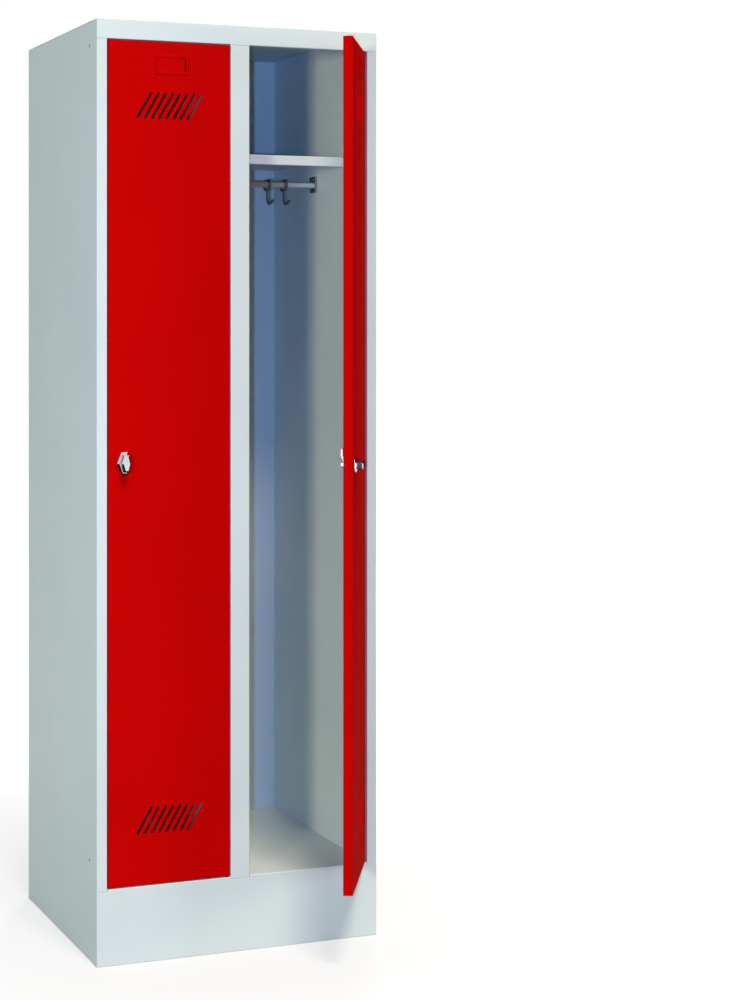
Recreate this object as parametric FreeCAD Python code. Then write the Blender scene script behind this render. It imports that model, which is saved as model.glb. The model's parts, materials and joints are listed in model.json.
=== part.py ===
import FreeCAD, Part
import math
import os

V = FreeCAD.Vector
UP = V(0, 0, 1)
RIGHT = V(1, 0, 0)
BACK = V(0, 1, 0)

# Millimetres. The locker stands on z = 0, centred on its footprint, front towards -y.

# Overall size
width = 600.0
depth = 500.0
height = 1850.0

# Sheet metal
sheet = 0.8
door_sheet = 0.9
fold_radius = 0.8

# Front frame
stile = 21.0
partition_width = 40.0
head = 38.0
plinth = 146.0
floor_step = 4.0
seam = 0.5
notch_reach = 2.5
notch_play = 0.3

# Flanges of the carcass
rear_flange = 15.0
liner_flange = 10.0
top_flange = 15.0
foot_flange = 20.0
floor_flange = 20.0
head_flange = 18.0
flange_root = 6.0
flange_inset = 26.0
flange_play = 0.5

# Holes through both skins of a side, for bolting lockers in a row
coupling_radius = 3.5
coupling_inset = 49.0
coupling_above_floor = 47.5
coupling_below_top = 48.0

# Hat shelf
shelf_below_top = 247.5
shelf_setback = 100.0
shelf_front = 20.0
shelf_return = 10.0
shelf_side_flange = 12.0
shelf_rear_flange = 12.0

# Clothes rail, a flat-sided tube, and its brackets
rail_below_shelf = 49.0
rail_behind_middle = 20.0
rail_across = 25.0
rail_tall = 13.0
rail_corner = 3.0
rail_wall = 1.2
rail_play = 0.3
bracket_wall = 1.8
bracket_base = 1.5
bracket_grip = 3.5
bracket_above = 19.5
bracket_below = 15.5
bracket_corner = 3.0
rivet_radius = 1.6
rivet_head_radius = 3.2
rivet_head = 1.2
rivet_above = 13.0
rivet_tail = 1.4
rivet_play = 0.05

# Sliding coat hooks, placed from the left wall of their compartment
hook_spots = (80.2, 148.4, 187.0)
hook_wire = 5.0
hook_rest = 0.3
hook_under = 2.4
hook_beside = 1.5
hook_stem = 18.5
hook_bend = 12.0
hook_lift_angle = 20.0
hook_point = 16.0

# Doors
door_gap = 2.0
door_thick = 19.0
door_return = 14.0
door_open_angle = 59.6

# Vent slots, in one group near each end of a door
vent_count = 8
vent_pitch = 15.0
vent_width = 5.0
vent_length = 60.0
vent_lean_angle = 30.5
vent_from_end = 126.0

# Label pocket pressed outwards in the door
label_wide = 75.0
label_tall = 40.0
label_proud = 1.5
label_slope = 1.5
label_rim = 5.0
label_corner = 3.0
label_from_top = 44.5
label_from_middle = 3.5
label_slit = 2.5

# Hat-section stiffener behind the door sheet
stiffener_crown = 32.0
stiffener_foot = 12.0
stiffener_slope = 4.0
stiffener_tall = 13.0
stiffener_vent_gap = 22.0

# Door pivots
pivot_from_edge = 5.5
pivot_from_face = 5.0
pin_radius = 2.0
pin_head_radius = 3.2
pin_head = 2.0
pin_reach = 6.0
pin_play = 0.05
bush_radius = 3.2
bush_rim_radius = 4.6
bush_play = 0.05
bush_length = 5.5
door_float = 0.3
plinth_hole_play = 0.5

# Turn latch
lock_inset = 33.0
rosette_radius = 13.5
rosette_thick = 1.5
rosette_round = 0.8
barrel_radius = 9.0
barrel_length = 18.0
barrel_play = 0.05
nut_across = 24.0
nut_thick = 4.0
spindle_radius = 4.5
spindle_play = 0.05
knob_gap = 0.3
knob_wide = 30.0
knob_long = 44.5
knob_end = 12.5
knob_base = 3.0
grip_wide = 21.0
grip_long = 34.6
grip_end = 11.0
grip_tall = 13.5
grip_draft = 0.5
bevel_in = 3.4
bevel_tall = 2.4
latch_open_angle = 90.0
cam_thick = 2.5
cam_wide = 14.0
cam_heel = 8.0
cam_gap = 0.5
cam_crank_from = 12.0
cam_crank_run = 4.0
cam_crank_radius = 1.5
cam_round = 4.6
cam_wall_gap = 1.0
cam_strike_gap = 1.3
drive_square = 6.0
drive_play = 0.1
cam_nut_across = 10.0
cam_nut_thick = 4.0
drive_tail = 0.6

# Strike strip behind the lock edge of the door, with rubber buffers
strike_sheet = 1.2
strike_lip = 7.0
strike_leg = 19.0
strike_gap = 1.7
strike_from_end = 40.0
buffer_radius = 2.5
buffer_play = 0.2
buffer_round = 0.5
buffer_from_end = 150.0

# Cutting tools reach this far past the face that they open
over = 1.0

# Planes that the pieces share
left = -width / 2
front = -depth / 2
back = depth / 2
wall = left + stile
spine = -partition_width / 2
opening = spine - wall
liner_end = back - 2 * sheet
skin_top = height - sheet
head_bottom = height - head
floor_top = plinth + floor_step
compartment_pitch = opening + partition_width
corner = sheet + fold_radius
door_left = wall + door_gap
door_right = spine - door_gap
door_bottom = floor_top + door_gap
door_top = head_bottom - door_gap
door_back = front + door_thick
door_middle = (door_left + door_right) / 2
label_x = door_middle + label_from_middle
pivot_x = door_right - pivot_from_edge
pivot_y = front + pivot_from_face
lock_x = door_left + lock_inset
lock_z = (door_bottom + door_top) / 2
strike_face = door_back + strike_gap
shelf_top = height - shelf_below_top
rail_y = (front + back) / 2 + rail_behind_middle
rail_centre = shelf_top - rail_below_shelf
rivet_z = rail_centre + rivet_above


def in_plan(z, *places):
    return [V(x, y, z) for x, y in places]


def in_side(x, *places):
    return [V(x, y, z) for y, z in places]


def in_front(y, *places):
    return [V(x, y, z) for x, z in places]


def line(start, end):
    return Part.LineSegment(start, end).toShape()


def polygon(points):
    return Part.makePolygon(list(points) + [points[0]])


def box(low, high):
    size = [b - a for a, b in zip(low, high)]
    return Part.makeBox(size[0], size[1], size[2], V(*low))


def rod(start, direction, radius, length):
    return Part.makeCylinder(radius, length, start, direction)


def joined(first, *others):
    return first.fuse(list(others)).removeSplitter()


# Folded sheet metal


def fold_edges(points, lefts, axis, offset, thickness, radius):
    """Lines and arcs along one face of a folded sheet, offset to the left of its points."""
    edges = []
    here = points[0] + lefts[0] * offset
    for bend, before, after in zip(points[1:], lefts, lefts[1:]):
        turns_left = before.cross(after).dot(axis) > 0
        centre_offset = thickness + radius if turns_left else -radius
        centre = bend + (before + after) * (centre_offset / (1.0 + before.dot(after)))
        reach = offset - centre_offset
        start = centre + before * reach
        middle = centre + (before + after).normalize() * reach
        end = centre + after * reach
        edges.append(line(here, start))
        edges.append(Part.Arc(start, middle, end).toShape())
        here = end
    edges.append(line(here, points[-1] + lefts[-1] * offset))
    return edges


def fold_sheet(points, run, thickness=sheet, radius=fold_radius):
    """Sheet folded through points, which lie on one of its faces, and as long as run.

    Seen with run towards the eye, the thickness is on the left of the points.
    """
    axis = V(run).normalize()
    lefts = [axis.cross((b - a).normalize()) for a, b in zip(points, points[1:])]
    edges = fold_edges(points, lefts, axis, 0.0, thickness, radius)
    edges += fold_edges(points, lefts, axis, thickness, thickness, radius)
    edges.append(line(points[0], points[0] + lefts[0] * thickness))
    edges.append(line(points[-1], points[-1] + lefts[-1] * thickness))
    return Part.Face(Part.Wire(Part.__sortEdges__(edges))).extrude(run)


# Carcass


def rivet_hole(wall_face, inward):
    """Cutter for the bracket rivet's hole in the skin whose compartment side is wall_face."""
    start = V(wall_face + inward * over, rail_y, rivet_z)
    return rod(start, RIGHT * -inward, rivet_radius + rivet_play, sheet + 2 * over)


def roof_bend_notch(low, high):
    """Cutter that clears the bend between the roof and its front rail."""
    return box((low - over, front - over, skin_top - fold_radius), (high + over, front + corner, height))


def side_panel():
    """Left side: outer skin, front stile and inner skin folded from one sheet."""
    section = in_plan(
        0.0,
        (left + rear_flange, back),
        (left, back),
        (left, front),
        (wall, front),
        (wall, liner_end),
        (wall - liner_flange, liner_end),
    )
    panel = fold_sheet(section, UP * skin_top)
    inner_edge = left + notch_reach
    behind_stile = front + notch_reach
    cutters = [
        # room for the front rail and the plinth panel, which cross the stile
        box((left - over, front - over, head_bottom - seam), (wall + over, front + sheet, height)),
        box((left - over, front - over, -over), (wall + over, front + sheet, plinth + seam)),
        box((inner_edge, front, -over), (wall + over, behind_stile, plinth + seam)),
        # the inner skin stands on the compartment floor
        box((inner_edge, behind_stile, -over), (wall + over, back - sheet, floor_top)),
        roof_bend_notch(left, wall),
        rivet_hole(wall, 1),
    ]
    for z in (floor_top + coupling_above_floor, height - coupling_below_top):
        start = V(left - over, front + coupling_inset, z)
        cutters.append(rod(start, RIGHT, coupling_radius, stile + 2 * over))
    # the foot and top edges of the outer skin turn inwards
    flange_from = front + flange_inset
    flange_to = back - flange_inset
    top_root = skin_top - flange_root
    cutters.append(box((left - over, flange_from, -over), (left + corner, flange_to, flange_root)))
    cutters.append(box((left - over, flange_from, top_root), (left + corner, flange_to, height)))
    foot = in_front(flange_to, (left, flange_root), (left, 0.0), (left + foot_flange, 0.0))
    top = in_front(flange_from, (left, top_root), (left, skin_top), (left + top_flange, skin_top))
    flange_run = BACK * (flange_to - flange_from)
    return joined(panel.cut(cutters), fold_sheet(foot, -flange_run), fold_sheet(top, flange_run))


def centre_partition():
    """Double wall between the compartments, folded from one sheet round its front edge."""
    section = in_plan(
        plinth + seam,
        (spine + liner_flange, liner_end),
        (spine, liner_end),
        (spine, front),
        (-spine, front),
        (-spine, liner_end),
        (-spine - liner_flange, liner_end),
    )
    panel = fold_sheet(section, UP * (skin_top - plinth - seam))
    cutters = [
        box((spine - over, front - over, head_bottom - seam), (over - spine, front + sheet, height)),
        box((spine - over, front + notch_reach, plinth), (over - spine, back, floor_top)),
        roof_bend_notch(spine, -spine),
        rivet_hole(spine, -1),
        rivet_hole(-spine, 1),
    ]
    return panel.cut(cutters)


def opening_edges(play):
    """Left and right limits of both openings, drawn in by play."""
    return [(wall + play, spine - play), (play - spine, -wall - play)]


def pivot_holes(radius, low, high):
    """Cutters at both door pivots between two heights."""
    spots = [pivot_x, pivot_x + compartment_pitch]
    return [rod(V(x, pivot_y, low), UP, radius, high - low) for x in spots]


def top_panel():
    """Roof, front rail and rear flange in one sheet; the rail turns in above each opening."""
    roof = in_side(left, (back, height), (front, height), (front, head_bottom))
    panel = fold_sheet(roof, RIGHT * width)
    rear_half = -left - rear_flange - flange_play
    rear_root = back - flange_root
    folds = []
    cutters = [box((-rear_half, rear_root, skin_top - over), (rear_half, back + over, height + over))]
    rear = in_side(
        rear_half,
        (rear_root, height),
        (back, height),
        (back, height - rear_flange),
    )
    folds.append(fold_sheet(rear, RIGHT * (-2 * rear_half)))
    rail_root = head_bottom + flange_root
    for low, high in opening_edges(flange_play):
        cutters.append(box((low, front - over, head_bottom - over), (high, front + corner, rail_root)))
        rail = in_side(
            low,
            (front, rail_root),
            (front, head_bottom),
            (front + head_flange, head_bottom),
        )
        folds.append(fold_sheet(rail, RIGHT * (high - low)))
    panel = joined(panel.cut(cutters), *folds)
    return panel.cut(pivot_holes(bush_radius + bush_play, head_bottom - over, rail_root))


def back_panel():
    """Back sheet, held inside the rear flanges, with its foot turned in."""
    half = -left - corner
    top = height - corner
    sheet_back = back - sheet
    section = in_side(half, (sheet_back, top), (sheet_back, 0.0), (sheet_back - foot_flange, 0.0))
    panel = fold_sheet(section, RIGHT * (-2 * half))
    foot_half = -left - foot_flange - flange_play
    trims = []
    for side in (-1, 1):
        inner = side * foot_half
        outer = side * (half + over)
        low = (min(inner, outer), front, -over)
        high = (max(inner, outer), liner_end, flange_root)
        trims.append(box(low, high))
    return panel.cut(trims)


def plinth_panel():
    """Full-width front panel below the doors, with its top and foot turned in."""
    section = in_side(
        left,
        (front + foot_flange, plinth),
        (front, plinth),
        (front, 0.0),
        (front + foot_flange, 0.0),
    )
    panel = fold_sheet(section, RIGHT * width)
    flange_half = -left - 2 * sheet - flange_play
    reach = front + foot_flange + over
    cutters = pivot_holes(bush_radius + plinth_hole_play, plinth - 2 * sheet, plinth + over)
    cutters.append(box((left - over, front + sheet, -over), (-flange_half, reach, plinth + over)))
    cutters.append(box((flange_half, front + sheet, -over), (-left + over, reach, plinth + over)))
    return panel.cut(cutters)


def floor_panel():
    """Floor of both compartments, notched round the stiles and hemmed down in each opening."""
    half = -left - sheet
    lowest = floor_top - floor_flange
    start = front + notch_reach + notch_play
    rear_root = liner_end - flange_root
    tray = in_front(start, (-half, lowest), (-half, floor_top), (half, floor_top), (half, lowest))
    panel = fold_sheet(tray, BACK * (rear_root - start))
    rear_half = half - corner
    rear = in_side(
        rear_half,
        (rear_root, floor_top),
        (liner_end, floor_top),
        (liner_end, lowest),
    )
    folds = [fold_sheet(rear, RIGHT * (-2 * rear_half))]
    for low, high in opening_edges(flange_play):
        hem = in_side(
            low,
            (start + flange_root, floor_top),
            (front, floor_top),
            (front, plinth),
        )
        folds.append(fold_sheet(hem, RIGHT * (high - low)))
    panel = joined(panel, *folds)
    return panel.cut(pivot_holes(bush_radius + bush_play, floor_top - flange_root, floor_top + over))


# Fittings of the left compartment


def hat_shelf():
    """Shelf folded down at the front and sides and up against the back panel."""
    shelf_y = front + shelf_setback
    rear_y = liner_end - sheet
    section = in_side(
        wall,
        (rear_y, shelf_top + shelf_rear_flange),
        (rear_y, shelf_top),
        (shelf_y, shelf_top),
        (shelf_y, shelf_top - shelf_front),
        (shelf_y + shelf_return, shelf_top - shelf_front),
    )
    shelf = fold_sheet(section, RIGHT * opening)
    side_from = shelf_y + corner
    side_run = rear_y - corner - side_from
    low = shelf_top - shelf_side_flange
    folds = []
    cutters = []
    for edge, inward in ((wall, 1), (spine, -1)):
        root = edge + inward * flange_root
        points = in_front(side_from, (edge, low), (edge, shelf_top), (root, shelf_top))
        if inward > 0:
            fold = fold_sheet(points, BACK * side_run)
        else:
            fold = fold_sheet(list(reversed(points)), BACK * side_run)
        folds.append(fold)
        strip_low = (min(edge, root), side_from, shelf_top - corner)
        strip_high = (max(edge, root), side_from + side_run, shelf_top + over)
        cutters.append(box(strip_low, strip_high))
    return joined(shelf.cut(cutters), *folds)


def rail_bar(start, length, inset):
    """Bar of the rail's section with its corners rounded, inset all round."""
    half_across = rail_across / 2 - inset
    half_tall = rail_tall / 2 - inset
    low = (start, rail_y - half_across, rail_centre - half_tall)
    high = (start + length, rail_y + half_across, rail_centre + half_tall)
    bar = box(low, high)
    along = [e for e in bar.Edges if e.BoundBox.XLength > length / 2]
    return bar.makeFillet(rail_corner - inset, along)


def clothes_rail():
    """Flat-sided steel tube lying between its two brackets."""
    end_play = bracket_base + rail_play
    start = wall + end_play
    length = opening - 2 * end_play
    bore = rail_bar(start - over, length + 2 * over, rail_wall)
    return rail_bar(start, length, 0.0).cut(bore)


def rail_bracket():
    """Left wall bracket: a riveted plate with a raised rim that the rail drops into."""
    low = rail_centre - bracket_below
    high = rail_centre + bracket_above
    base_face = wall + bracket_base
    rim_face = base_face + bracket_grip
    half_slot = rail_across / 2 + rail_play
    half = half_slot + bracket_wall
    block = box((wall, rail_y - half, low), (rim_face, rail_y + half, high))
    along = [e for e in block.Edges if e.BoundBox.XLength > bracket_grip / 2]
    lower = [e for e in along if e.BoundBox.ZMax < low + over]
    block = block.makeFillet(bracket_corner, lower)
    seat = rail_centre - rail_tall / 2
    slot = box((base_face, rail_y - half_slot, seat), (rim_face + over, rail_y + half_slot, high + over))
    hole = rod(V(wall - over, rail_y, rivet_z), RIGHT, rivet_radius + rivet_play, bracket_base + 2 * over)
    return block.cut([slot, hole])


def bracket_rivet():
    """Rivet through the left bracket's base and the wall behind it."""
    head_start = wall + bracket_base
    grip = bracket_base + sheet
    head = rod(V(head_start, rail_y, rivet_z), RIGHT, rivet_head_radius, rivet_head)
    rim = [e for e in head.Edges if e.BoundBox.XMin > head_start + rivet_head / 2]
    head = head.makeFillet(rivet_head / 2, rim)
    shank = rod(V(head_start, rail_y, rivet_z), -RIGHT, rivet_radius, grip)
    tail = rod(V(head_start - grip, rail_y, rivet_z), -RIGHT, rivet_head_radius, rivet_tail)
    return joined(head, shank, tail)


def coat_hook(x):
    """Wire hook: a closed loop round the rail, a stem and a bend open to the front."""
    radius = hook_wire / 2
    top = rail_centre + rail_tall / 2 + hook_rest + radius
    bottom = rail_centre - rail_tall / 2 - hook_under - radius
    reach = rail_across / 2 + hook_beside + radius
    turn = rail_corner + hook_rest + radius
    run = reach - turn
    pieces = []
    for z in (top, bottom):
        pieces.append(rod(V(x, rail_y - run, z), BACK, radius, 2 * run))
    for side in (-1, 1):
        y = rail_y + side * reach
        pieces.append(rod(V(x, y, bottom + turn), UP, radius, top - bottom - 2 * turn))
        for z, rise in ((top - turn, 1), (bottom + turn, -1)):
            section = Part.Face(Part.Wire([Part.makeCircle(radius, V(x, y, z), UP)]))
            bend = section.revolve(V(x, rail_y + side * run, z), RIGHT, 90 * side * rise)
            pieces.append(bend)
    stem_top = V(x, rail_y, bottom)
    stem_end = stem_top - UP * hook_stem
    centre = stem_end - BACK * hook_bend
    lift = math.radians(hook_lift_angle)
    half_turn = (math.pi / 2 + lift) / 2
    bend_middle = centre + BACK * (hook_bend * math.cos(half_turn)) - UP * (hook_bend * math.sin(half_turn))
    bend_end = centre - BACK * (hook_bend * math.sin(lift)) - UP * (hook_bend * math.cos(lift))
    point = bend_end - BACK * (hook_point * math.cos(lift)) + UP * (hook_point * math.sin(lift))
    path = Part.Wire([
        line(stem_top, stem_end),
        Part.Arc(stem_end, bend_middle, bend_end).toShape(),
        line(bend_end, point),
    ])
    section = Part.Wire([Part.makeCircle(radius, stem_top, -UP)])
    shank = path.makePipeShell([section], True, False)
    tip = Part.makeSphere(radius, point)
    return joined(pieces[0], *pieces[1:], shank, tip)


# Left door, closed


def vent_slot(x, z):
    """Cutter for one leaning slot with round ends."""
    radius = vent_width / 2
    straight = vent_length - vent_width
    low = V(x, front - over, z - straight / 2)
    high = V(x, front - over, z + straight / 2)
    through = door_sheet + 2 * over
    bar = box(
        (x - radius, front - over, z - straight / 2),
        (x + radius, front - over + through, z + straight / 2),
    )
    slot = joined(bar, rod(low, BACK, radius, through), rod(high, BACK, radius, through))
    slot.rotate(V(x, front, z), BACK, vent_lean_angle)
    return slot


def vent_slots():
    spread = vent_pitch * (vent_count - 1)
    slots = []
    for z in (door_bottom + vent_from_end, door_top - vent_from_end):
        for index in range(vent_count):
            slots.append(vent_slot(door_middle - spread / 2 + index * vent_pitch, z))
    return slots


def upright_rectangle(y, half_wide, half_tall, z):
    """Outline of a label pressing, centred on one height."""
    low = label_x - half_wide
    high = label_x + half_wide
    bottom = z - half_tall
    top = z + half_tall
    return polygon(in_front(y, (low, bottom), (high, bottom), (high, top), (low, top)))


def pressing(foot_y, crown_y, half_wide, half_tall, z):
    """Drafted block of a pressed panel, from its foot to its smaller crown."""
    foot = upright_rectangle(foot_y, half_wide, half_tall, z)
    crown = upright_rectangle(crown_y, half_wide - label_slope, half_tall - label_slope, z)
    block = Part.makeLoft([foot, crown], True, True)
    slanted = [e for e in block.Edges if e.BoundBox.YLength > label_proud / 2]
    return block.makeFillet(label_corner, slanted)


def label_pocket(panel):
    """Press the label frame out of the door sheet, with its window sunk and a slit at its right."""
    z = door_top - label_from_top
    half_wide = label_wide / 2
    half_tall = label_tall / 2
    inner_wide = half_wide - label_rim
    inner_tall = half_tall - label_rim
    proud = front - label_proud
    boss = pressing(front, proud, half_wide, half_tall, z)
    hollow = pressing(front + door_sheet, proud + door_sheet, half_wide, half_tall, z)
    window = pressing(proud, front, inner_wide, inner_tall, z)
    backing = pressing(proud + door_sheet, front + door_sheet, inner_wide, inner_tall, z)
    slit_x = label_x + inner_wide - label_slope
    slit = box(
        (slit_x - label_slit, front - over, z - inner_tall + label_slope),
        (slit_x, front + door_sheet + over, z + inner_tall - label_slope),
    )
    raised = panel.fuse(boss).cut(hollow.cut(backing)).cut(window)
    return raised.cut(slit).removeSplitter()


def door_panel():
    """Door pan: folded sides with returns, folded ends, vents, label pocket and lock hole."""
    section = in_plan(
        door_bottom,
        (door_left + door_return, door_back),
        (door_left, door_back),
        (door_left, front),
        (door_right, front),
        (door_right, door_back),
        (door_right - door_return, door_back),
    )
    panel = fold_sheet(section, UP * (door_top - door_bottom), door_sheet)
    edge = door_sheet + fold_radius
    low = door_left + edge
    high = door_right - edge
    flange_y = door_back - door_sheet
    folds = []
    cutters = []
    for end, inward in ((door_bottom, 1), (door_top, -1)):
        root = end + inward * flange_root
        points = [(front, root), (front, end), (flange_y, end)]
        if inward > 0:
            folds.append(fold_sheet(in_side(low, *points), RIGHT * (high - low), door_sheet))
        else:
            folds.append(fold_sheet(in_side(high, *points), RIGHT * (low - high), door_sheet))
        cutters.append(box((low, front - over, min(root, end)), (high, front + edge, max(root, end))))
    panel = joined(panel.cut(cutters), *folds)
    holes = vent_slots()
    pin_hole = pin_radius + pin_play
    for z, inward in ((door_bottom, 1), (door_top, -1)):
        holes.append(rod(V(pivot_x, pivot_y, z - inward * over), UP * inward, pin_hole, flange_root))
    through = door_sheet + 2 * over
    holes.append(rod(V(lock_x, front - over, lock_z), BACK, barrel_radius + barrel_play, through))
    return label_pocket(panel.cut(holes))


def door_stiffener():
    """Hat-section strip behind the door sheet, between the two groups of vents."""
    inner = front + door_sheet
    crown = inner + stiffener_tall - door_sheet
    half = stiffener_crown / 2
    shoulder = half + stiffener_slope
    foot = shoulder + stiffener_foot
    from_end = vent_from_end + vent_length / 2 + stiffener_vent_gap
    section = in_plan(
        door_bottom + from_end,
        (door_middle - foot, inner),
        (door_middle - shoulder, inner),
        (door_middle - half, crown),
        (door_middle + half, crown),
        (door_middle + shoulder, inner),
        (door_middle + foot, inner),
    )
    return fold_sheet(section, UP * (door_top - door_bottom - 2 * from_end), door_sheet)


def pivot_pin(end, outward):
    """Headed pin through the folded end of the door; outward is up or down."""
    seat = V(pivot_x, pivot_y, end) - outward * door_sheet
    head = rod(seat, -outward, pin_head_radius, pin_head)
    shank = rod(seat, outward, pin_radius, door_sheet + door_gap + pin_reach)
    return joined(head, shank)


def pivot_bush(face, outward):
    """Flanged bush in the frame; its rim fills the door gap but for the float."""
    seat = V(pivot_x, pivot_y, face)
    rim = rod(seat, -outward, bush_rim_radius, door_gap - door_float)
    body = rod(seat, outward, bush_radius, bush_length)
    low = seat - outward * (door_gap + over)
    bore = rod(low, outward, pin_radius + pin_play, door_gap + bush_length + 2 * over)
    return joined(rim, body).cut(bore)


# Turn latch of the left door, with its cam towards the hinge


def at_lock(depth_in):
    """Point on the latch axis at a depth behind the door's outer face."""
    return V(lock_x, front + depth_in, lock_z)


def lock_barrel():
    """Rosette and barrel that the latch turns in."""
    rosette = rod(at_lock(0.0), -BACK, rosette_radius, rosette_thick)
    rim = [e for e in rosette.Edges if e.BoundBox.YMax < front - rosette_thick / 2]
    rosette = rosette.makeFillet(rosette_round, rim)
    barrel = rod(at_lock(0.0), BACK, barrel_radius, barrel_length)
    length = rosette_thick + barrel_length + 2 * over
    bore = rod(at_lock(-rosette_thick - over), BACK, spindle_radius + spindle_play, length)
    return joined(rosette, barrel).cut(bore)


def hex_nut(depth_in, across, thick, bore_radius):
    """Hexagon nut on the latch axis, starting at a depth behind the door's outer face."""
    sides = 6
    corner_radius = across / 2 / math.cos(math.pi / sides)
    corners = []
    for index in range(sides):
        angle = math.tau * index / sides
        offset = V(math.cos(angle), 0, math.sin(angle)) * corner_radius
        corners.append(at_lock(depth_in) + offset)
    nut = Part.Face(polygon(corners)).extrude(BACK * thick)
    return nut.cut(rod(at_lock(depth_in - over), BACK, bore_radius, thick + 2 * over))


def knob_ring(depth_in, wide, long, end, inset):
    """Long hexagon with blunt ends, upright on the latch axis and inset from its full size."""
    lean = math.atan2(wide - end, long)
    half_wide = wide / 2 - inset / math.cos(lean)
    half_end = end / 2 - inset * (1 - math.sin(lean)) / math.cos(lean)
    half_long = long / 2 - inset
    places = [
        (half_wide, 0.0),
        (half_end, half_long),
        (-half_end, half_long),
        (-half_wide, 0.0),
        (-half_end, -half_long),
        (half_end, -half_long),
    ]
    return polygon([at_lock(depth_in) + V(x, 0, z) for x, z in places])


def knob_block(depth_in, tall, size, draft):
    """Block of the knob, standing out from a depth and bevelled round its face."""
    face = depth_in - tall
    rings = [
        knob_ring(depth_in, *size, 0.0),
        knob_ring(face + bevel_tall, *size, draft),
        knob_ring(face, *size, draft + bevel_in),
    ]
    return Part.makeLoft(rings, True, True)


def cam_depth():
    """Depth of the cam's hub behind the door's outer face."""
    return max(barrel_length, door_thick) + cam_gap


def lock_knob():
    """Knob with a raised grip, its spindle and the square that drives the cam."""
    base_depth = -rosette_thick - knob_gap
    base = knob_block(base_depth, knob_base, (knob_wide, knob_long, knob_end), 0.0)
    grip = knob_block(base_depth - knob_base, grip_tall, (grip_wide, grip_long, grip_end), grip_draft)
    hub_depth = cam_depth()
    spindle = rod(at_lock(base_depth), BACK, spindle_radius, hub_depth - base_depth)
    half = drive_square / 2
    tail = cam_thick + cam_nut_thick + drive_tail
    drive = box(
        (lock_x - half, front + hub_depth, lock_z - half),
        (lock_x + half, front + hub_depth + tail, lock_z + half),
    )
    return joined(base, grip, spindle, drive)


def lock_cam():
    """Cranked cam plate on the drive square; its tip runs behind the strike lip."""
    hub = front + cam_depth()
    tip = strike_face + strike_sheet + cam_strike_gap
    heel = lock_x - cam_heel
    crank = lock_x + cam_crank_from
    end = lock_x + lock_inset + door_gap - strike_sheet - cam_wall_gap
    points = in_plan(
        lock_z - cam_wide / 2,
        (heel, hub),
        (crank, hub),
        (crank + cam_crank_run, tip),
        (end, tip),
    )
    plate = fold_sheet(points, UP * cam_wide, cam_thick, cam_crank_radius)
    through = [e for e in plate.Edges if e.BoundBox.YLength > cam_thick / 2]
    corners = [e for e in through if e.BoundBox.XMax < heel + over or e.BoundBox.XMin > end - over]
    plate = plate.makeFillet(cam_round, corners)
    half = drive_square / 2 + drive_play
    hole = box(
        (lock_x - half, hub - over, lock_z - half),
        (lock_x + half, hub + cam_thick + over, lock_z + half),
    )
    return plate.cut(hole)


def cam_nut():
    """Nut that holds the cam on the drive square."""
    bore = math.hypot(drive_square, drive_square) / 2 + drive_play
    return hex_nut(cam_depth() + cam_thick, cam_nut_across, cam_nut_thick, bore)


# Strike of the left compartment


def strike_strip():
    """Angle on the lock-side wall: the door stops on its lip and the cam locks behind it."""
    low = door_bottom + strike_from_end
    high = door_top - strike_from_end
    section = in_plan(
        high,
        (wall + strike_lip, strike_face),
        (wall, strike_face),
        (wall, strike_face + strike_leg),
    )
    return fold_sheet(section, UP * (low - high), strike_sheet)


def door_buffers():
    """Two rubber buttons on the strike lip."""
    thick = strike_gap - buffer_play
    buttons = []
    for z in (door_bottom + buffer_from_end, door_top - buffer_from_end):
        button = rod(V(wall + strike_lip / 2, strike_face, z), -BACK, buffer_radius, thick)
        rim = [e for e in button.Edges if e.BoundBox.YMax < strike_face - thick / 2]
        buttons.append(button.makeFillet(buffer_round, rim))
    return Part.makeCompound(buttons)


# Assembly

parts = {}


def mirrored(shape, x=0.0):
    return shape.mirror(V(x, 0, 0), RIGHT)


def add_carcass():
    side = side_panel()
    parts["left_side_panel"] = side
    parts["right_side_panel"] = mirrored(side)
    parts["centre_partition"] = centre_partition()
    parts["top_panel"] = top_panel()
    parts["back_panel"] = back_panel()
    parts["floor_panel"] = floor_panel()
    parts["plinth_panel"] = plinth_panel()


def add_compartment(name, shift):
    """Fixed fittings of one compartment, shift to the right of the left one."""
    middle = (wall + spine) / 2
    bracket = rail_bracket()
    rivet = bracket_rivet()
    fittings = {
        "hat_shelf": hat_shelf(),
        "clothes_rail": clothes_rail(),
        "rail_left_bracket": bracket,
        "rail_right_bracket": mirrored(bracket, middle),
        "bracket_rivets": Part.makeCompound([rivet, mirrored(rivet, middle)]),
        "top_pivot_bush": pivot_bush(head_bottom, UP),
        "bottom_pivot_bush": pivot_bush(floor_top, -UP),
        "strike_strip": strike_strip(),
        "door_buffers": door_buffers(),
    }
    for index, spot in enumerate(hook_spots):
        fittings["coat_hook_" + str(index + 1)] = coat_hook(wall + spot)
    for fitting, shape in fittings.items():
        parts[name + "_" + fitting] = shape.translated(RIGHT * shift)


def add_door(name, shift, opened, latch_turn):
    """One door with its latch, opened on its pivots and with the latch turned, in degrees."""
    door = {
        "door_panel": door_panel(),
        "door_stiffener": door_stiffener(),
        "top_pivot_pin": pivot_pin(door_top, UP),
        "bottom_pivot_pin": pivot_pin(door_bottom, -UP),
        "lock_barrel": lock_barrel(),
        "lock_nut": hex_nut(door_sheet, nut_across, nut_thick, barrel_radius + barrel_play),
    }
    latch = {
        "lock_knob": lock_knob(),
        "lock_cam": lock_cam(),
        "cam_nut": cam_nut(),
    }
    for piece, shape in latch.items():
        door[piece] = shape.rotated(at_lock(0.0), -BACK, latch_turn)
    pivot = V(pivot_x, pivot_y, 0)
    for piece, shape in door.items():
        placed = shape.rotated(pivot, UP, opened).translated(RIGHT * shift)
        parts[name + "_" + piece] = placed


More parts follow.
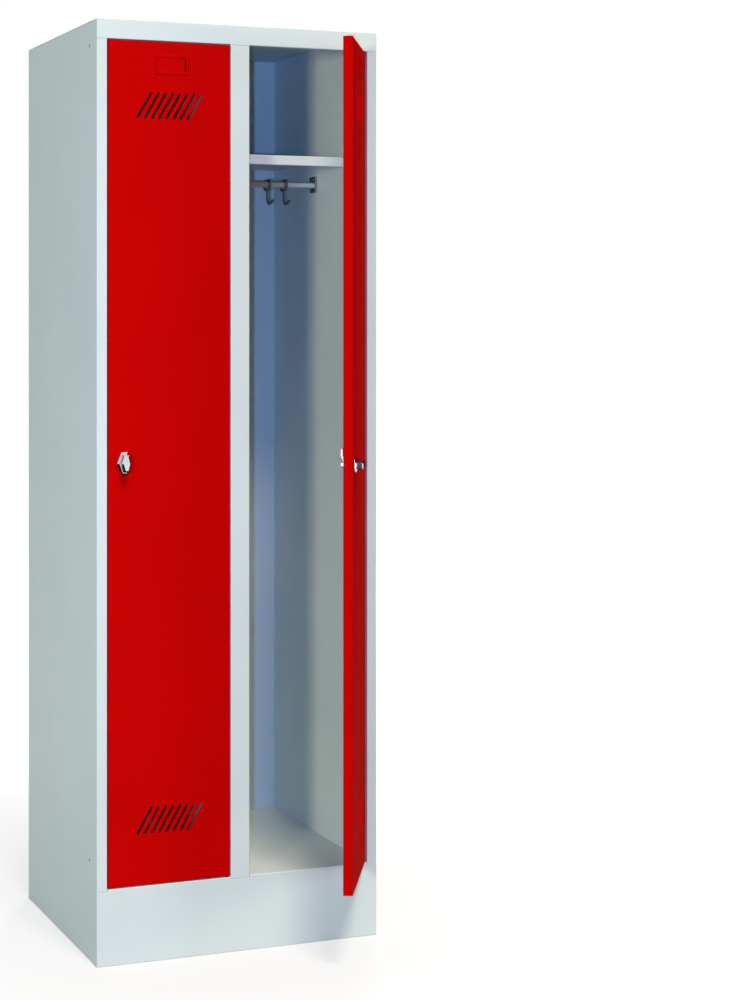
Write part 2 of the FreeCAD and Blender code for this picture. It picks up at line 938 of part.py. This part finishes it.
add_carcass()
add_compartment("left", 0.0)
add_compartment("right", compartment_pitch)
add_door("left", 0.0, 0.0, 0.0)
add_door("right", compartment_pitch, door_open_angle, latch_open_angle)

os.makedirs("parts", exist_ok=True)
for node, shape in parts.items():
    shape.exportStep("parts/" + node + ".step")
    solids = len(shape.Solids)
    print(node, solids, "solid" if solids == 1 else "solids", round(shape.Volume), shape.isValid())
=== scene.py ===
import json
import math

import bmesh
import bpy
from mathutils import Euler, Matrix, Vector

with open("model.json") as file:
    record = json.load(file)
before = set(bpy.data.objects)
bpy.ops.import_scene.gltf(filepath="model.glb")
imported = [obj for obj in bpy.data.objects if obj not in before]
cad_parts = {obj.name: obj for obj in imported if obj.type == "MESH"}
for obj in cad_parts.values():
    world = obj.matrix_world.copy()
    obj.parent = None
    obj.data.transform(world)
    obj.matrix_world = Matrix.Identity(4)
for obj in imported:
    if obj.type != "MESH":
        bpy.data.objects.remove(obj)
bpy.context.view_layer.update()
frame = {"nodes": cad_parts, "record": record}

scene = bpy.context.scene
scene.view_settings.view_transform = "Standard"
MM = 0.001
WHITE = (1.0, 1.0, 1.0, 1.0)


def linear(hex_colour):
    """sRGB hex colour as a linear RGBA tuple."""
    parts = [int(hex_colour[i:i + 2], 16) / 255 for i in (1, 3, 5)]
    curve = [c / 12.92 if c <= 0.04045 else ((c + 0.055) / 1.055) ** 2.4 for c in parts]
    return (*curve, 1.0)


# Building blocks of the materials

# the part of a 0 to 1 amount over which a colour changes
TINT_START = 0.35
TINT_END = 0.65


def new_material(name):
    """Material, its node tree and its shader."""
    material = bpy.data.materials.new(name)
    material.use_nodes = True
    tree = material.node_tree
    return material, tree, tree.nodes["Principled BSDF"]


def new_metal(name):
    """The same three for a bare or plated metal."""
    material, tree, shader = new_material(name)
    shader.inputs["Metallic"].default_value = 1.0
    return material, tree, shader


def new_matt(name, colour):
    """The same three for a dull material of one colour."""
    material, tree, shader = new_material(name)
    shader.inputs["Base Color"].default_value = linear(colour)
    shader.inputs["Roughness"].default_value = 1.0
    shader.inputs["Specular IOR Level"].default_value = 0.0
    return material, tree, shader


def add(tree, kind, settings=None, **inputs):
    """Add one node; settings are its own properties, inputs are values or sockets to link."""
    node = tree.nodes.new(kind)
    for key, value in (settings or {}).items():
        setattr(node, key, value)
    for key, value in inputs.items():
        socket = node.inputs[key.replace("_", " ")]
        if isinstance(value, bpy.types.NodeSocket):
            tree.links.new(value, socket)
        else:
            socket.default_value = value
    return node


def combine(tree, operation, first, second):
    """Maths on two sockets; the operation is named as in the maths node."""
    node = add(tree, "ShaderNodeMath", {"operation": operation})
    tree.links.new(first, node.inputs[0])
    tree.links.new(second, node.inputs[1])
    return node.outputs["Value"]


def own_place(tree):
    """Place in the piece's own axes, so that a pattern moves with its piece."""
    return add(tree, "ShaderNodeTexCoord").outputs["Object"]


def clouds(tree, place, size, detail):
    """Cloudy 0 to 1 amount; size is in millimetres."""
    noise = add(tree, "ShaderNodeTexNoise", Vector=place, Scale=1 / (size * MM), Detail=detail)
    return noise.outputs["Fac"]


def tint(tree, shader, amount, dark, light):
    """Base colour that goes from dark to light over the middle of a 0 to 1 amount."""
    ramp = add(tree, "ShaderNodeValToRGB", Fac=amount)
    start, end = ramp.color_ramp.elements
    start.position = TINT_START
    start.color = linear(dark)
    end.position = TINT_END
    end.color = linear(light)
    tree.links.new(ramp.outputs["Color"], shader.inputs["Base Color"])


def gloss(tree, shader, amount, smooth, rough):
    """Roughness between two values, from a 0 to 1 amount."""
    spread = add(tree, "ShaderNodeMapRange", Value=amount, To_Min=smooth, To_Max=rough)
    tree.links.new(spread.outputs["Result"], shader.inputs["Roughness"])


def relief(tree, shader, height, strength, depth):
    """Shallow bump from a 0 to 1 height; depth is in millimetres."""
    bump = add(tree, "ShaderNodeBump", Height=height, Strength=strength, Distance=depth * MM)
    tree.links.new(bump.outputs["Normal"], shader.inputs["Normal"])


# Materials of the locker


def powder_coat(name, dark, light, specular, smooth, rough):
    """Powder coat, sprayed and baked on sheet steel: even satin colour with a fine orange peel."""
    material, tree, shader = new_material(name)
    shader.inputs["Specular IOR Level"].default_value = specular
    place = own_place(tree)
    # the film's thickness drifts slowly over a sheet, and its cure a little faster
    film = clouds(tree, place, size=260, detail=2.0)
    tint(tree, shader, film, dark, light)
    cure = clouds(tree, place, size=45, detail=3.0)
    gloss(tree, shader, cure, smooth, rough)
    # real orange peel is 1 to 2 mm across; drawn at 4 mm so that it shows
    peel = clouds(tree, place, size=4, detail=1.0)
    relief(tree, shader, peel, strength=0.06, depth=0.3)
    return material


def chrome_casting(name, dark, light):
    """Chrome on polished die-cast zinc: a mirror, a little wavy where the wheel passed."""
    material, tree, shader = new_metal(name)
    wheel = clouds(tree, own_place(tree), size=6, detail=4.0)
    tint(tree, shader, wheel, dark, light)
    gloss(tree, shader, wheel, smooth=0.06, rough=0.12)
    relief(tree, shader, wheel, strength=0.03, depth=0.1)
    return material


def chrome_tube(name, dark, light):
    """Satin chrome on drawn steel tube: soft reflections with faint streaks along the tube."""
    material, tree, shader = new_metal(name)
    # draw marks: 60 mm long and 1.2 mm apart, along the rail
    length, spacing = 60, 1.2
    stretch = (1 / length, 1 / spacing, 1 / spacing)
    drawn = add(tree, "ShaderNodeMapping", Vector=own_place(tree), Scale=stretch)
    marks = clouds(tree, drawn.outputs["Vector"], size=1, detail=3.0)
    tint(tree, shader, marks, dark, light)
    gloss(tree, shader, marks, smooth=0.28, rough=0.38)
    relief(tree, shader, marks, strength=0.02, depth=0.05)
    return material


def chrome_wire_painted_dark(name, dark, light):
    """Chrome on bent steel wire, with narrow highlights and fine bending marks; its colour is
    painted far darker than chrome, a painted reflection of the dark compartment around it.
    """
    material, tree, shader = new_metal(name)
    marks = clouds(tree, own_place(tree), size=2, detail=4.0)
    tint(tree, shader, marks, dark, light)
    gloss(tree, shader, marks, smooth=0.05, rough=0.12)
    relief(tree, shader, marks, strength=0.03, depth=0.05)
    return material


def zinc_plate(name, dark, light):
    """Zinc plating, clear passivated: soft grey metal, mottled from blue-grey to straw."""
    material, tree, shader = new_metal(name)
    place = own_place(tree)
    mottle = clouds(tree, place, size=18, detail=4.0)
    tint(tree, shader, mottle, dark, light)
    # crystals of the plating, drawn at 4 mm so that they show
    crystal = 4 * MM
    grain = add(tree, "ShaderNodeTexVoronoi", Vector=place, Scale=1 / crystal).outputs["Distance"]
    gloss(tree, shader, grain, smooth=0.38, rough=0.50)
    relief(tree, shader, grain, strength=0.04, depth=0.05)
    return material


def moulded(name, dark, light, smooth, rough):
    """Black moulded plastic or rubber: matt, with the fine skin of a spark-eroded mould."""
    material, tree, shader = new_material(name)
    place = own_place(tree)
    flow = clouds(tree, place, size=5, detail=2.0)
    tint(tree, shader, flow, dark, light)
    skin = clouds(tree, place, size=0.6, detail=2.0)
    gloss(tree, shader, skin, smooth, rough)
    relief(tree, shader, skin, strength=0.15, depth=0.1)
    return material


finishes = {
    "grey_paint": powder_coat("light_grey_powder_coat", "#ced8d3", "#d3dcd7",
                              specular=0.4, smooth=0.34, rough=0.46),
    "red_paint": powder_coat("red_powder_coat", "#bb0202", "#c00202",
                             specular=0.01, smooth=0.68, rough=0.80),
    "rail_chrome": chrome_tube("chrome_tube", "#c2c6ca", "#d2d5d8"),
    # chrome colour painted dark: painted reflection of the shaded compartment around the hooks
    "hook_chrome": chrome_wire_painted_dark("chrome_wire_painted_dark", "#7d8187", "#8d9196"),
    "zinc": zinc_plate("zinc_plated_steel", "#b4bac3", "#c7c5bb"),
    "chrome": chrome_casting("chrome_casting", "#c4c6c9", "#d0d2d5"),
    "nylon": moulded("black_nylon", "#1a1a1c", "#222225", smooth=0.42, rough=0.55),
    "rubber": moulded("black_rubber", "#141414", "#1c1c1b", smooth=0.65, rough=0.80),
}
for subpart in frame["record"]["subparts"]:
    node = frame["nodes"][subpart["node"]]
    node.data.materials.clear()
    node.data.materials.append(finishes[subpart["material_slot"]])


# Studio: paper, cards, light and camera; lengths are in metres

ORIGIN = (0.0, 0.0, 0.0)
LEVEL = (0.0, 0.0, 0.0)
STANDING = math.radians(90)
LOCKER_MIDDLE = (0.0, -0.25, 0.95)

# the paper glows white, and less and less towards the middle of the locker's foot
PAPER_HALF = 30.0
PAPER_COLOUR = "#8a8b8c"
SHADED_RADIUS = 2.0
GLOW_FAR = 1.0
GLOW_NEAR = 0.6

# faint sky that lights the locker; the camera and the reflections see white instead
SKY_COLOUR = "#dfe8ff"
SKY_STRENGTH = 0.04

# camera fitted to the photograph; lens and sensor in millimetres, shift in parts of the long side
LENS = 71.93
SENSOR = 36.0
SHIFT_RIGHT = 0.1653
SHIFT_UP = -0.1812
CAMERA_PLACE = (-1.460, -3.970, 1.2643)
CAMERA_TURN = math.radians(-20.48)

# black cards: half width and half height, place, turn
CARD_COLOUR = "#101012"
CARDS = {
    "ground_card": ((2.5, 1.1), (-0.5, -1.5, 0.002), LEVEL),
    "right_card": ((2.6, 3.0), (2.65, 1.63, 3.0), (STANDING, 0.0, math.radians(-36))),
    "camera_card": ((0.8, 1.1), (-1.95, -5.1, 1.1), (STANDING, 0.0, math.radians(157))),
}

# lamps: place, width and height, power in watts, colour
# the small blue one beside the lens gives the compartments their blue tone
LAMPS = {
    "key": ((-4.05, -4.67, 1.35), (0.8, 0.9), 160.0, "#fff7d8"),
    "side": ((-5.1, -1.2, 1.2), (1.2, 1.8), 35.0, "#78dfff"),
    "right_fill": ((4.9, -3.7, 1.3), (1.4, 1.8), 80.0, "#fff9ea"),
    "overhead": ((0.0, -12.0, 23.0), (6.0, 4.0), 5400.0, "#fff5e3"),
    "rear": ((3.2, 5.2, 1.6), (1.6, 1.8), 360.0, "#fffaf2"),
    "lens_fill": ((-1.542, -3.939, 1.232), (0.03, 0.03), 68.0, "#7aaaff"),
}


def white_rays(tree):
    """1 for the rays that should see a white studio: the camera's and the reflected ones."""
    rays = add(tree, "ShaderNodeLightPath").outputs
    return combine(tree, "MAXIMUM", rays["Is Camera Ray"], rays["Is Glossy Ray"])


def white_paper():
    """Studio paper: fades from the locker's soft shadow to plain white."""
    material, tree, shader = new_matt("white_paper", PAPER_COLOUR)
    shader.inputs["Emission Color"].default_value = WHITE
    shrink = (1 / SHADED_RADIUS,) * 3
    around = add(tree, "ShaderNodeMapping", Vector=own_place(tree), Scale=shrink).outputs["Vector"]
    ball = {"gradient_type": "SPHERICAL"}
    near = add(tree, "ShaderNodeTexGradient", ball, Vector=around).outputs["Fac"]
    glow = add(tree, "ShaderNodeMapRange", Value=near, To_Min=GLOW_FAR, To_Max=GLOW_NEAR)
    white = combine(tree, "MULTIPLY", glow.outputs["Result"], white_rays(tree))
    tree.links.new(white, shader.inputs["Emission Strength"])
    return material


def black_card():
    """Dull black card."""
    return new_matt("black_card", CARD_COLOUR)[0]


def add_sheet(name, half_size, place, turn, material):
    """Flat sheet of the studio: level when not turned."""
    spot = Matrix.Translation(place) @ Euler(turn).to_matrix().to_4x4()
    stretch = Matrix.Diagonal((*half_size, 1.0, 1.0))
    mesh = bmesh.new()
    bmesh.ops.create_grid(mesh, x_segments=1, y_segments=1, size=1.0, matrix=spot @ stretch)
    data = bpy.data.meshes.new(name)
    mesh.to_mesh(data)
    mesh.free()
    data.materials.append(material)
    sheet = bpy.data.objects.new(name, data)
    scene.collection.objects.link(sheet)
    return sheet


def only_reflected(card):
    """Let a card show in the locker's reflections alone, as the dark lines in chrome."""
    card.visible_camera = False
    card.visible_diffuse = False
    card.visible_shadow = False


def add_world():
    """Faint sky for the light, white for what the camera and the reflections see."""
    world = bpy.data.worlds.new("studio")
    scene.world = world
    world.use_nodes = True
    tree = world.node_tree
    tree.nodes.clear()
    sky = add(tree, "ShaderNodeBackground", Color=linear(SKY_COLOUR), Strength=SKY_STRENGTH)
    white = add(tree, "ShaderNodeBackground", Color=WHITE, Strength=1.0)
    mix = add(tree, "ShaderNodeMixShader", Fac=white_rays(tree))
    tree.links.new(sky.outputs["Background"], mix.inputs[1])
    tree.links.new(white.outputs["Background"], mix.inputs[2])
    add(tree, "ShaderNodeOutputWorld", Surface=mix.outputs["Shader"])


def add_lamp(name, place, size, power, colour):
    """Flat lamp aimed at the locker's middle."""
    data = bpy.data.lights.new(name, "AREA")
    data.shape = "RECTANGLE"
    data.size, data.size_y = size
    data.energy = power
    data.color = linear(colour)[:3]
    lamp = bpy.data.objects.new(name, data)
    scene.collection.objects.link(lamp)
    lamp.location = place
    aim = Vector(LOCKER_MIDDLE) - Vector(place)
    lamp.rotation_euler = aim.to_track_quat("-Z", "Y").to_euler()


def add_camera():
    """Level camera; its shift frames the locker as in the photograph."""
    data = bpy.data.cameras.new("camera")
    data.sensor_width = SENSOR
    data.lens = LENS
    data.shift_x = SHIFT_RIGHT
    data.shift_y = SHIFT_UP
    camera = bpy.data.objects.new("camera", data)
    camera.location = CAMERA_PLACE
    camera.rotation_euler = (STANDING, 0.0, CAMERA_TURN)
    scene.collection.objects.link(camera)
    scene.camera = camera


add_sheet("floor", (PAPER_HALF, PAPER_HALF), ORIGIN, LEVEL, white_paper())
card_material = black_card()
for name, (half_size, place, turn) in CARDS.items():
    only_reflected(add_sheet(name, half_size, place, turn, card_material))
add_world()
for name, (place, size, power, colour) in LAMPS.items():
    add_lamp(name, place, size, power, colour)
add_camera()
